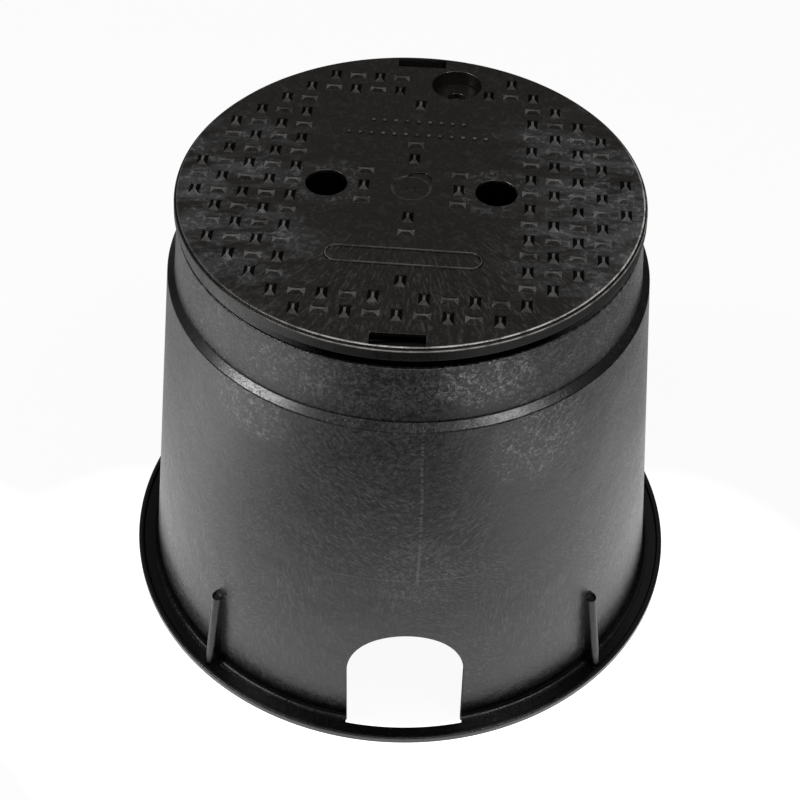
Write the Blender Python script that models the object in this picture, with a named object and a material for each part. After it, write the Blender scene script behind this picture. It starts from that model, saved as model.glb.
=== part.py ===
"""Round irrigation valve box: a tapered body and the cover that lifts off it.

Metres, +Z up. The origin is on the ground under the middle of the box, and the two pipe
openings look along -Y (front) and +Y (back).
"""
import math

import bmesh
import bpy
from mathutils import Matrix, Vector

# Overall height, from the ground to the flat face of the cover
BOX_HEIGHT = 0.262
FACETS = 96
SHARP_ANGLE = math.radians(32.0)

# Clearances between the cover and the body
REST_GAP = 0.0003
NECK_CLEARANCE = 0.0015
SKIRT_GAP = 0.0013

# Cover: plate, skirt and stepped rim
COVER_RADIUS = 0.1215
COVER_TURN = math.radians(-5.0)
COVER_PLATE = 0.005
SKIRT_DEPTH = 0.0117
SKIRT_WALL = 0.0028
SKIRT_TAPER = 0.0004
RIM_STEP_WIDTH = 0.0013
RIM_STEP_DEPTH = 0.0011
EDGE_BREAK = 0.0004

# Cover: finger holes, prising slots and the counterbored bolt hole
FINGER_HOLE_RADIUS = 0.01075
FINGER_HOLE_SPACING = 0.0875
SLOT_LENGTH = 0.0265
SLOT_WIDTH = 0.0082
SLOT_INSET = 0.0003
SLOT_TURN = math.radians(0.9)
COUNTERBORE_RADIUS = 0.0136
COUNTERBORE_DEPTH = 0.0085
COUNTERBORE_WALL = 0.0024
COUNTERBORE_FLOOR = 0.003
COUNTERBORE_GAP = 0.0013
BOLT_HOLE_RADIUS = 0.0047
BOLT_AZIMUTH = math.radians(11.2)

# Cover: moulding gate in the middle of the face
GATE_WELL_RADIUS = 0.0098
GATE_WELL_DEPTH = 0.0007
GATE_NUB_RADIUS = 0.0023
INSERT_MARK_RADIUS = 0.0065
INSERT_MARK_DEPTH = 0.0011
INSERT_MARK_PLACE = (0.0035, 0.0067)

# Cover: raised tread of hipped lozenges on a square grid
TREAD_PITCH = 0.0122
TREAD_LENGTH = 0.0088
TREAD_WIDTH = 0.0042
TREAD_HEIGHT = 0.0012
TREAD_RIDGE = 0.0032
TREAD_BORDER = 0.0044
TREAD_FIRST_COLUMN = 5
TREAD_FIRST_ROW = 7
TREAD_MIDDLE_ROWS = (2, 3, 6)
TREAD_MARGIN = 0.0012

# Cover: plain raised panel outline at the front and rows of plain studs at the back
PANEL_LENGTH = 0.078
PANEL_DEPTH = 0.013
PANEL_LINE = 0.0012
PANEL_PLACE = -0.0555
MARK_HEIGHT = 0.0007
STUD_RADIUS = 0.0013
STUD_PITCH = 0.0061
STUD_ROWS = ((0.0570, 9), (0.0450, 13))

# Cover: stiffening under the plate
UNDER_RIBS = 8
UNDER_RIB_WALL = 0.0024
UNDER_RIB_DEPTH = 0.0048
UNDER_RIB_START = 0.012
UNDER_RIB_MARGIN = 0.0035
UNDER_RING_RADIUS = 0.070

# Body: walls
WALL = 0.004
WALL_DRAFT = math.radians(6.3)
NECK_WALL = 0.0036
COVER_OVERHANG = 0.0009
SEAT_THICKNESS = 0.0045
SHOULDER_DEPTH = 0.0451
SHOULDER_WIDTH = 0.0041
SHOULDER_DROP = 0.0026

# Body: base flange with a raised lip, and a low ledge at the foot of the wall
FLANGE_WIDTH = 0.0119
FLANGE_PLATE = 0.0028
LIP_HEIGHT = 0.0042
LIP_WIDTH = 0.0034
FOOT_FILLET = 0.003
FOOT_FILLET_STEPS = 4
LEDGE_WIDTH = 0.0006
LEDGE_HEIGHT = 0.0008

# Body: arched pipe openings, gusset ribs, notches under the slots and the bolt lug
PIPE_OPENING_WIDTH = 0.064
PIPE_OPENING_HEIGHT = 0.0725
PIPE_OPENING_MARGIN = 0.0003
ARCH_STEPS = 24
RIB_COUNT = 4
RIB_THICKNESS = 0.006
RIB_HEIGHT = 0.0575
RIB_TOP_DEPTH = 0.005
RIB_CAP_SLOPE = 0.003
RIB_RIM_MARGIN = 0.003
NOTCH_LENGTH = 0.030
LUG_RADIUS = 0.010
LUG_HEIGHT = 0.018
LUG_STEPS = 12
LUG_GAP = 0.0006
PILOT_RADIUS = 0.0030

# Heights worked out from the sizes above
FACE_Z = BOX_HEIGHT
PLATE_Z = FACE_Z - COVER_PLATE
SKIRT_Z = FACE_Z - SKIRT_DEPTH
NECK_Z = PLATE_Z - REST_GAP
SEAT_Z = SKIRT_Z - SKIRT_GAP
SHOULDER_TOP_Z = FACE_Z - SHOULDER_DEPTH
SHOULDER_FOOT_Z = SHOULDER_TOP_Z - SHOULDER_DROP
CUP_Z = FACE_Z - COUNTERBORE_DEPTH - COUNTERBORE_FLOOR
LEDGE_Z = FLANGE_PLATE + LEDGE_HEIGHT

# Radii worked out from the sizes above
SKIRT_TOP_RADIUS = COVER_RADIUS - SKIRT_TAPER
FACE_RADIUS = SKIRT_TOP_RADIUS - RIM_STEP_WIDTH
SKIRT_INNER_RADIUS = COVER_RADIUS - SKIRT_WALL
NECK_RADIUS = SKIRT_INNER_RADIUS - NECK_CLEARANCE
NECK_INNER_RADIUS = NECK_RADIUS - NECK_WALL
SEAT_RADIUS = COVER_RADIUS - COVER_OVERHANG
DRAFT = math.tan(WALL_DRAFT)
SHOULDER_INNER_RADIUS = SEAT_RADIUS + (SEAT_Z - SHOULDER_TOP_Z) * DRAFT
SHOULDER_RADIUS = SHOULDER_INNER_RADIUS + SHOULDER_WIDTH
CUP_RADIUS = COUNTERBORE_RADIUS + COUNTERBORE_WALL
BOLT_CIRCLE = NECK_INNER_RADIUS - COUNTERBORE_GAP - CUP_RADIUS
TREAD_FIELD_RADIUS = FACE_RADIUS - TREAD_BORDER - TREAD_LENGTH / 2.0
OVERCUT = 0.002
EMBED = 0.0004


def lower_wall_radius(z):
    return SHOULDER_RADIUS + (SHOULDER_FOOT_Z - z) * DRAFT


def upper_wall_radius(z):
    return SEAT_RADIUS + (SEAT_Z - z) * DRAFT


FLANGE_RADIUS = lower_wall_radius(LEDGE_Z) + FLANGE_WIDTH
FILLET_RADIUS = lower_wall_radius(LEDGE_Z + FOOT_FILLET) + FOOT_FILLET / math.cos(WALL_DRAFT)
LEDGE_RADIUS = FILLET_RADIUS + LEDGE_WIDTH


def around(radius, azimuth):
    """Point at a radius, turned clockwise from +Y as seen from above."""
    return radius * math.sin(azimuth), radius * math.cos(azimuth)


def clear_scene():
    for old in list(bpy.data.objects):
        bpy.data.objects.remove(old, do_unlink=True)


def plastic(name, colour, roughness):
    material = bpy.data.materials.new(name)
    material.use_nodes = True
    shader = material.node_tree.nodes["Principled BSDF"]
    shader.inputs["Base Color"].default_value = (*colour, 1.0)
    shader.inputs["Roughness"].default_value = roughness
    shader.inputs["Metallic"].default_value = 0.0
    return material


def link_mesh(name, mesh_data, material=None):
    """Finish a bmesh as a named object with its faces pointing out."""
    bmesh.ops.recalc_face_normals(mesh_data, faces=mesh_data.faces)
    mesh = bpy.data.meshes.new(name)
    mesh_data.to_mesh(mesh)
    mesh_data.free()
    if material:
        mesh.materials.append(material)
    piece = bpy.data.objects.new(name, mesh)
    bpy.context.scene.collection.objects.link(piece)
    return piece


def turn_profile(profile, closed=True, facets=FACETS):
    """Spin a profile of (radius, height) points about Z into a closed bmesh.

    An open profile leaves a round hole at each end, which gets a flat cap.
    """
    work = bmesh.new()
    points = [work.verts.new((radius, 0.0, z)) for radius, z in profile]
    edges = [work.edges.new(pair) for pair in zip(points, points[1:])]
    if closed:
        edges.append(work.edges.new((points[-1], points[0])))
    bmesh.ops.spin(work, geom=points + edges, cent=(0.0, 0.0, 0.0), axis=(0.0, 0.0, 1.0),
                   angle=2.0 * math.pi, steps=facets, use_merge=True)
    if not closed:
        bmesh.ops.holes_fill(work, edges=work.edges, sides=0)
    return work


def add_prism(work, outline, bottom, top, place=Matrix.Identity(4)):
    """Add a closed prism over an outline of (x, y) points."""
    base = [work.verts.new((x, y, bottom)) for x, y in outline]
    face = work.faces.new(base)
    grown = bmesh.ops.extrude_face_region(work, geom=[face])["geom"]
    raised = [item for item in grown if isinstance(item, bmesh.types.BMVert)]
    bmesh.ops.translate(work, verts=raised, vec=(0.0, 0.0, top - bottom))
    bmesh.ops.transform(work, matrix=place, verts=base + raised)


def add_cylinder(work, radius, bottom, top, centre=(0.0, 0.0), facets=32):
    middle = Vector((centre[0], centre[1], (bottom + top) / 2.0))
    bmesh.ops.create_cone(work, cap_ends=True, segments=facets, radius1=radius, radius2=radius,
                          depth=top - bottom, matrix=Matrix.Translation(middle))


def rectangle(length, depth, centre=(0.0, 0.0)):
    x, y = length / 2.0, depth / 2.0
    return [(centre[0] + a * x, centre[1] + b * y) for a, b in ((-1, -1), (1, -1), (1, 1), (-1, 1))]


def tool_object(name, work):
    """A cutter or an addition that is only used by another object's modifiers."""
    tool = link_mesh(name, work)
    tool.hide_render = True
    tool.display_type = "WIRE"
    return tool


def combine(piece, tool, operation):
    boolean = piece.modifiers.new(tool.name, "BOOLEAN")
    boolean.object = tool
    boolean.operation = operation
    boolean.solver = "EXACT"


def smooth_by_angle():
    """Node group that shades faces smooth and marks edges over SHARP_ANGLE as sharp."""
    group = bpy.data.node_groups.new("smooth_by_angle", "GeometryNodeTree")
    group.interface.new_socket("Geometry", in_out="INPUT", socket_type="NodeSocketGeometry")
    group.interface.new_socket("Geometry", in_out="OUTPUT", socket_type="NodeSocketGeometry")
    start = group.nodes.new("NodeGroupInput")
    end = group.nodes.new("NodeGroupOutput")
    faces = group.nodes.new("GeometryNodeSetShadeSmooth")
    edges = group.nodes.new("GeometryNodeSetShadeSmooth")
    edges.domain = "EDGE"
    edges.inputs["Shade Smooth"].default_value = False
    angle = group.nodes.new("GeometryNodeInputMeshEdgeAngle")
    sharp = group.nodes.new("FunctionNodeCompare")
    sharp.inputs["B"].default_value = SHARP_ANGLE
    group.links.new(angle.outputs["Unsigned Angle"], sharp.inputs["A"])
    group.links.new(sharp.outputs["Result"], edges.inputs["Selection"])
    group.links.new(start.outputs["Geometry"], faces.inputs["Geometry"])
    group.links.new(faces.outputs["Geometry"], edges.inputs["Geometry"])
    group.links.new(edges.outputs["Geometry"], end.inputs["Geometry"])
    return group


def shade(piece, group):
    piece.modifiers.new("shading", "NODES").node_group = group


# Body


def foot_fillet():
    """Arc from the drafted wall to the top of the ledge, centred at FILLET_RADIUS."""
    start = math.pi + WALL_DRAFT
    points = []
    for step in range(FOOT_FILLET_STEPS + 1):
        angle = start + (1.5 * math.pi - start) * step / FOOT_FILLET_STEPS
        points.append((FILLET_RADIUS + FOOT_FILLET * math.cos(angle),
                       LEDGE_Z + FOOT_FILLET * (1.0 + math.sin(angle))))
    return points


def body_profile():
    """Section of the wall, from the neck down the outside and back up the inside."""
    lip_inner = FLANGE_RADIUS - LIP_WIDTH
    under_shoulder = SHOULDER_FOOT_Z - SHOULDER_DROP
    over_shoulder = SHOULDER_TOP_Z - SHOULDER_DROP
    under_seat = SEAT_Z - SEAT_THICKNESS
    neck_root = under_seat + (upper_wall_radius(under_seat) - WALL - NECK_INNER_RADIUS) / 2.0
    return [
        (NECK_RADIUS - EDGE_BREAK, NECK_Z),
        (NECK_RADIUS, NECK_Z - EDGE_BREAK),
        (NECK_RADIUS, SEAT_Z),
        (SEAT_RADIUS - EDGE_BREAK, SEAT_Z),
        (SEAT_RADIUS, SEAT_Z - EDGE_BREAK),
        (SHOULDER_INNER_RADIUS, SHOULDER_TOP_Z),
        (SHOULDER_RADIUS - EDGE_BREAK, SHOULDER_FOOT_Z + EDGE_BREAK),
        (SHOULDER_RADIUS, SHOULDER_FOOT_Z - EDGE_BREAK),
        *foot_fillet(),
        (LEDGE_RADIUS - EDGE_BREAK, LEDGE_Z),
        (LEDGE_RADIUS, FLANGE_PLATE),
        (lip_inner, FLANGE_PLATE),
        (lip_inner + EDGE_BREAK, LIP_HEIGHT),
        (FLANGE_RADIUS - EDGE_BREAK, LIP_HEIGHT),
        (FLANGE_RADIUS, LIP_HEIGHT - EDGE_BREAK),
        (FLANGE_RADIUS, 0.0),
        (lower_wall_radius(0.0) - WALL, 0.0),
        (lower_wall_radius(under_shoulder) - WALL, under_shoulder),
        (upper_wall_radius(over_shoulder) - WALL, over_shoulder),
        (upper_wall_radius(under_seat) - WALL, under_seat),
        (NECK_INNER_RADIUS, neck_root),
        (NECK_INNER_RADIUS, NECK_Z),
    ]


def arch_outline():
    """Pipe opening in a vertical plane: straight sides under a half-round crown."""
    half = PIPE_OPENING_WIDTH / 2.0
    spring = PIPE_OPENING_HEIGHT - half
    crown = []
    for step in range(ARCH_STEPS + 1):
        angle = math.pi * step / ARCH_STEPS
        crown.append((half * math.cos(angle), spring + half * math.sin(angle)))
    return [(half, -OVERCUT)] + crown + [(-half, -OVERCUT)]


def pipe_opening_cutter():
    """Both arches in one prism through the body, kept inside the flange ring."""
    work = bmesh.new()
    upright = Matrix.Rotation(math.pi / 2.0, 4, "X")
    add_prism(work, arch_outline(), -FLANGE_RADIUS, FLANGE_RADIUS, upright)
    cutter = tool_object("pipe_opening_cutter", work)
    reach = LEDGE_RADIUS + PIPE_OPENING_MARGIN
    limit = bmesh.new()
    add_cylinder(limit, reach, -2.0 * OVERCUT, PIPE_OPENING_HEIGHT + OVERCUT, facets=FACETS)
    reach_tool = tool_object("pipe_opening_reach", limit)
    reach_tool.rotation_euler.z = math.pi / FACETS
    combine(cutter, reach_tool, "INTERSECT")
    return cutter


def rib_outline():
    """Gusset seen from its side, as (radius, height), rooted inside the wall."""
    root = WALL / 2.0
    top = RIB_HEIGHT
    cap = top - RIB_CAP_SLOPE
    foot = FLANGE_PLATE - EMBED
    return [
        (lower_wall_radius(foot) - root, foot),
        (FLANGE_RADIUS - RIB_RIM_MARGIN, foot),
        (FLANGE_RADIUS - RIB_RIM_MARGIN, LIP_HEIGHT - EMBED),
        (lower_wall_radius(cap) + RIB_TOP_DEPTH, cap),
        (lower_wall_radius(top) - root, top),
    ]


def gusset_ribs():
    work = bmesh.new()
    upright = Matrix.Rotation(math.pi / 2.0, 4, "X")
    for index in range(RIB_COUNT):
        turn = Matrix.Rotation(2.0 * math.pi * (index + 0.5) / RIB_COUNT, 4, "Z")
        add_prism(work, rib_outline(), -RIB_THICKNESS / 2.0, RIB_THICKNESS / 2.0, turn @ upright)
    return tool_object("gusset_ribs", work)


def bolt_place(extra_turn=0.0):
    return around(BOLT_CIRCLE, BOLT_AZIMUTH - extra_turn)


def bolt_lug():
    """Lug inside the neck, under the cover's bolt hole, rooted in the wall."""
    work = bmesh.new()
    top = CUP_Z - LUG_GAP
    azimuth = BOLT_AZIMUTH - COVER_TURN
    reach = (NECK_INNER_RADIUS + NECK_RADIUS) / 2.0
    root_z = top - LUG_HEIGHT
    outline = [(reach, -LUG_RADIUS)]
    for step in range(LUG_STEPS + 1):
        angle = -math.pi / 2.0 - math.pi * step / LUG_STEPS
        outline.append((BOLT_CIRCLE + LUG_RADIUS * math.cos(angle), LUG_RADIUS * math.sin(angle)))
    outline.append((reach, LUG_RADIUS))
    turn = Matrix.Rotation(math.pi / 2.0 - azimuth, 4, "Z")
    add_prism(work, outline, root_z, top, turn)
    return tool_object("bolt_lug", work)


def bolt_pilot():
    work = bmesh.new()
    top = CUP_Z - LUG_GAP
    add_cylinder(work, PILOT_RADIUS, top - LUG_HEIGHT - OVERCUT, top + OVERCUT,
                 bolt_place(COVER_TURN), facets=20)
    return tool_object("bolt_pilot", work)


def neck_notches():
    """Openings in the neck under the cover's two slots."""
    work = bmesh.new()
    turn = Matrix.Rotation(COVER_TURN + SLOT_TURN, 4, "Z")
    depth = NECK_WALL + NECK_CLEARANCE
    for side in (-1.0, 1.0):
        centre = (0.0, side * (NECK_INNER_RADIUS + NECK_RADIUS) / 2.0)
        add_prism(work, rectangle(NOTCH_LENGTH, 2.0 * depth, centre), SEAT_Z + EMBED,
                  NECK_Z + OVERCUT, turn)
    return tool_object("neck_notches", work)


def make_box_body():
    body = link_mesh("box_body", turn_profile(body_profile()),
                     plastic("black_structural_plastic", (0.020, 0.021, 0.022), 0.46))
    combine(body, gusset_ribs(), "UNION")
    combine(body, bolt_lug(), "UNION")
    combine(body, bolt_pilot(), "DIFFERENCE")
    combine(body, pipe_opening_cutter(), "DIFFERENCE")
    combine(body, neck_notches(), "DIFFERENCE")
    return body


# Cover


def cover_profile():
    """Section of the cover from the edge of its face, round the skirt, to its underside."""
    step_z = FACE_Z - RIM_STEP_DEPTH
    return [
        (FACE_RADIUS - EDGE_BREAK, FACE_Z),
        (FACE_RADIUS, FACE_Z - EDGE_BREAK),
        (FACE_RADIUS, step_z),
        (SKIRT_TOP_RADIUS - EDGE_BREAK, step_z),
        (SKIRT_TOP_RADIUS, step_z - EDGE_BREAK),
        (COVER_RADIUS, SKIRT_Z + EDGE_BREAK),
        (COVER_RADIUS - EDGE_BREAK, SKIRT_Z),
        (SKIRT_INNER_RADIUS, SKIRT_Z),
        (SKIRT_INNER_RADIUS, PLATE_Z),
    ]


def slot_centre():
    """Middle of a slot, whose outer side lies just inside the skirt."""
    return SKIRT_INNER_RADIUS - SLOT_INSET - SLOT_WIDTH / 2.0


def tread_cells():
    """Grid places of the tread, each as (x, y, lies along x)."""
    steps = int(TREAD_FIELD_RADIUS / TREAD_PITCH) + 1
    bolt_x, bolt_y = bolt_place()
    bolt_keep = COUNTERBORE_RADIUS + TREAD_LENGTH / 2.0 + TREAD_MARGIN
    slot_keep_y = slot_centre() - SLOT_WIDTH / 2.0 - TREAD_LENGTH / 2.0 - TREAD_MARGIN
    slot_keep_x = SLOT_LENGTH / 2.0 + TREAD_LENGTH / 2.0 + TREAD_MARGIN
    by_holes = round(FINGER_HOLE_SPACING / 2.0 / TREAD_PITCH) - 2
    cells = []
    for column in range(-steps, steps + 1):
        for row in range(-steps, steps + 1):
            x, y = column * TREAD_PITCH, row * TREAD_PITCH
            in_field = abs(column) >= TREAD_FIRST_COLUMN or abs(row) >= TREAD_FIRST_ROW
            in_field = in_field and not (column == 0 and abs(row) == TREAD_FIRST_ROW)
            in_middle = column == 0 and abs(row) in TREAD_MIDDLE_ROWS
            beside_hole = abs(column) == by_holes and abs(row) <= 1
            if not (in_field or in_middle or beside_hole):
                continue
            if math.hypot(x, y) > TREAD_FIELD_RADIUS:
                continue
            if math.hypot(x - bolt_x, y - bolt_y) < bolt_keep:
                continue
            if abs(x) < slot_keep_x and abs(y) > slot_keep_y:
                continue
            cells.append((x, y, (column + row) % 2 == 1))
    return cells


def add_lozenge(work, x, y, along_x):
    """Raised bar with a hipped top, sunk a little into the face."""
    half_length, half_width, half_ridge = TREAD_LENGTH / 2.0, TREAD_WIDTH / 2.0, TREAD_RIDGE / 2.0
    base = [work.verts.new((a * half_length, b * half_width, FACE_Z - EMBED))
            for a, b in ((-1, -1), (1, -1), (1, 1), (-1, 1))]
    ridge = [work.verts.new((a * half_ridge, 0.0, FACE_Z + TREAD_HEIGHT)) for a in (-1, 1)]
    work.faces.new(base)
    work.faces.new((base[0], base[1], ridge[1], ridge[0]))
    work.faces.new((base[2], base[3], ridge[0], ridge[1]))
    work.faces.new((base[1], base[2], ridge[1]))
    work.faces.new((base[3], base[0], ridge[0]))
    turn = Matrix.Identity(4) if along_x else Matrix.Rotation(math.pi / 2.0, 4, "Z")
    bmesh.ops.transform(work, matrix=Matrix.Translation((x, y, 0.0)) @ turn, verts=base + ridge)


def tread():
    work = bmesh.new()
    for x, y, along_x in tread_cells():
        add_lozenge(work, x, y, along_x)
    return tool_object("tread", work)


def stadium(length, depth, steps=8):
    """Outline with straight sides and half-round ends."""
    radius = depth / 2.0
    straight = length / 2.0 - radius
    points = []
    for side, start in ((1.0, -math.pi / 2.0), (-1.0, math.pi / 2.0)):
        for step in range(steps + 1):
            angle = start + math.pi * step / steps
            points.append((side * straight + radius * math.cos(angle), radius * math.sin(angle)))
    return points


def panel_outline():
    """Blank panel: a raised line in the shape of a stadium."""
    work = bmesh.new()
    place = Matrix.Translation((0.0, PANEL_PLACE, 0.0))
    add_prism(work, stadium(PANEL_LENGTH, PANEL_DEPTH), FACE_Z - EMBED, FACE_Z + MARK_HEIGHT, place)
    panel = tool_object("panel_outline", work)
    inside = bmesh.new()
    inner = stadium(PANEL_LENGTH - 2.0 * PANEL_LINE, PANEL_DEPTH - 2.0 * PANEL_LINE)
    add_prism(inside, inner, FACE_Z - OVERCUT, FACE_Z + OVERCUT, place)
    combine(panel, tool_object("panel_inside", inside), "DIFFERENCE")
    return panel


def studs():
    work = bmesh.new()
    for row_y, count in STUD_ROWS:
        for index in range(count):
            x = (index - (count - 1) / 2.0) * STUD_PITCH
            add_cylinder(work, STUD_RADIUS, FACE_Z - EMBED, FACE_Z + MARK_HEIGHT, (x, row_y), facets=8)
    return tool_object("studs", work)


def gate_cutters():
    """Shallow round well with a nub left standing, and a round insert mark beside it."""
    well = bmesh.new()
    add_cylinder(well, GATE_WELL_RADIUS, FACE_Z - GATE_WELL_DEPTH, FACE_Z + OVERCUT, facets=32)
    mark = bmesh.new()
    add_cylinder(mark, INSERT_MARK_RADIUS, FACE_Z - INSERT_MARK_DEPTH, FACE_Z + OVERCUT,
                 INSERT_MARK_PLACE, facets=24)
    nub = bmesh.new()
    add_cylinder(nub, GATE_NUB_RADIUS, FACE_Z - INSERT_MARK_DEPTH - EMBED, FACE_Z, facets=16)
    return (tool_object("gate_well", well), tool_object("insert_mark", mark),
            tool_object("gate_nub", nub))


def under_ribs():
    """Radial ribs and a ring under the plate, clear of the neck."""
    spokes = bmesh.new()
    outer = NECK_INNER_RADIUS - UNDER_RIB_MARGIN
    for index in range(UNDER_RIBS):
        turn = Matrix.Rotation(2.0 * math.pi * (index + 0.5) / UNDER_RIBS, 4, "Z")
        centre = ((UNDER_RIB_START + outer) / 2.0, 0.0)
        bar = rectangle(outer - UNDER_RIB_START, UNDER_RIB_WALL, centre)
        add_prism(spokes, bar, PLATE_Z - UNDER_RIB_DEPTH, PLATE_Z + EMBED, turn)
    half = UNDER_RIB_WALL / 2.0
    low = PLATE_Z - UNDER_RIB_DEPTH + EMBED
    ring = turn_profile([(UNDER_RING_RADIUS - half, low), (UNDER_RING_RADIUS + half, low),
                         (UNDER_RING_RADIUS + half, PLATE_Z + EMBED),
                         (UNDER_RING_RADIUS - half, PLATE_Z + EMBED)], facets=48)
    return tool_object("under_spokes", spokes), tool_object("under_ring", ring)


def bolt_cup():
    work = bmesh.new()
    add_cylinder(work, CUP_RADIUS, CUP_Z, PLATE_Z + EMBED, bolt_place(), facets=32)
    return tool_object("bolt_cup", work)


def cover_cutter():
    """Finger holes, slots and the counterbore; the bolt hole follows through its floor."""
    work = bmesh.new()
    slot_turn = Matrix.Rotation(SLOT_TURN, 4, "Z")
    for side in (-1.0, 1.0):
        add_cylinder(work, FINGER_HOLE_RADIUS, PLATE_Z - OVERCUT, FACE_Z + OVERCUT,
                     (side * FINGER_HOLE_SPACING / 2.0, 0.0))
        slot = rectangle(SLOT_LENGTH, SLOT_WIDTH, (0.0, side * slot_centre()))
        add_prism(work, slot, PLATE_Z - OVERCUT, FACE_Z + OVERCUT, slot_turn)
    add_cylinder(work, COUNTERBORE_RADIUS, FACE_Z - COUNTERBORE_DEPTH, FACE_Z + OVERCUT, bolt_place())
    return tool_object("cover_cutter", work)


def bolt_hole_cutter():
    work = bmesh.new()
    add_cylinder(work, BOLT_HOLE_RADIUS, CUP_Z - OVERCUT, FACE_Z, bolt_place(), facets=24)
    return tool_object("bolt_hole_cutter", work)


def make_cover():
    cover = link_mesh("cover", turn_profile(cover_profile(), closed=False),
                      plastic("black_cover_plastic", (0.014, 0.014, 0.015), 0.40))
    well, mark, nub = gate_cutters()
    spokes, ring = under_ribs()
    additions = [spokes, ring, bolt_cup()]
    for tool in additions:
        combine(cover, tool, "UNION")
    cuts = [cover_cutter(), bolt_hole_cutter(), well, mark]
    for tool in cuts:
        combine(cover, tool, "DIFFERENCE")
    raised = [nub, tread(), panel_outline(), studs()]
    for tool in raised:
        combine(cover, tool, "UNION")
    for piece in [cover] + additions + cuts + raised + [bpy.data.objects["panel_inside"]]:
        piece.rotation_euler.z = COVER_TURN
    return cover


clear_scene()
shading = smooth_by_angle()
shade(make_box_body(), shading)
shade(make_cover(), shading)
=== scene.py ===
"""Looks of a round irrigation valve box: the tapered body, the cover that lifts off it,
their flow-marked black plastic, and a plain studio to see them in.

Metres, +Z up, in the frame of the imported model.
"""
import math

import bmesh
import bpy
from bpy.props import FloatProperty, FloatVectorProperty, IntProperty, PointerProperty
from mathutils import Matrix, Vector


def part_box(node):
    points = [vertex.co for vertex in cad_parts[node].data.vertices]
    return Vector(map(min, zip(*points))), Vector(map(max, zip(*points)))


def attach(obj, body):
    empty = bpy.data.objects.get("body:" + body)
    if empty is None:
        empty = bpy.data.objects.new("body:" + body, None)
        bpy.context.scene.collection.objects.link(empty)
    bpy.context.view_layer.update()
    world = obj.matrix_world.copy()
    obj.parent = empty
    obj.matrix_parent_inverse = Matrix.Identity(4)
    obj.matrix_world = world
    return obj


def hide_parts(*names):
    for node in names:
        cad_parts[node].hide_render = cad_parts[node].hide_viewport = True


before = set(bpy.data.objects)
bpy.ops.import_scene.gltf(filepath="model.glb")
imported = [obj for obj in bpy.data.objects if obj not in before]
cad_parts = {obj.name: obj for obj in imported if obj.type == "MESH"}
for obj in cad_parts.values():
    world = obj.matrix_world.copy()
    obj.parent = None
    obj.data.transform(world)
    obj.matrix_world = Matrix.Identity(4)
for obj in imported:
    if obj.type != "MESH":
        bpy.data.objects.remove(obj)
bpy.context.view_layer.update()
BODY_FOOT, BODY_TOP = (corner.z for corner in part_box("box_body"))
COVER_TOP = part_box("cover")[1].z

bl_info = {
    "name": "Irrigation Valve Box",
    "version": (1, 0, 0),
    "blender": (4, 5, 0),
    "location": "3D View > Sidebar > Valve Box",
    "description": "Round irrigation valve box with a lift-off cover",
    "category": "Add Mesh",
}

# Points round the large circles, the holes, the small round forms and the studs
SEGMENTS = 360
HOLE_SEGMENTS = 96
SMALL_SEGMENTS = 48
STUD_SEGMENTS = 16
# Most turn between two faces of a moulded edge, and the turn past which an edge stays sharp
ARC_STEP = math.radians(22.0)
SMOOTH_ANGLE = math.radians(22.6)
# How far a cutter stands out of what it cuts, how far an added form is sunk in, and how close
# two points are merged
OVERCUT = 0.002
EMBED = 0.0004
MERGE = 1e-7
# Signs of a rectangle's corners, in order round it
CORNERS = ((-1, -1), (1, -1), (1, 1), (-1, 1))


# Sizes, colours and light that a user may change


def property_of(kind, **settings):
    """Function that takes a default value and a description for one kind of property."""
    return lambda value, description: (
        kind, dict(settings, default=value, description=description))


metres = property_of(FloatProperty, min=0.0, precision=5, unit="LENGTH")
angle = property_of(FloatProperty, subtype="ANGLE")
millimetres = property_of(FloatProperty, subtype="DISTANCE_CAMERA")
share = property_of(FloatProperty, min=0.0, max=1.0, subtype="FACTOR")
number = property_of(IntProperty, min=1)
colour = property_of(FloatVectorProperty, size=3, min=0.0, max=1.0, subtype="COLOR")
place = property_of(FloatVectorProperty, size=3, precision=5, unit="LENGTH")
rotation = property_of(FloatVectorProperty, size=3, precision=5, unit="ROTATION")


def degrees(value, description):
    return angle(math.radians(value), description)


def named(group):
    """Make a group's properties, each named as its attribute spells it."""
    for key, (kind, settings) in group.__annotations__.items():
        name = key.replace("_", " ").capitalize()
        group.__annotations__[key] = kind(name=name, **settings)
    return group


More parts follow.
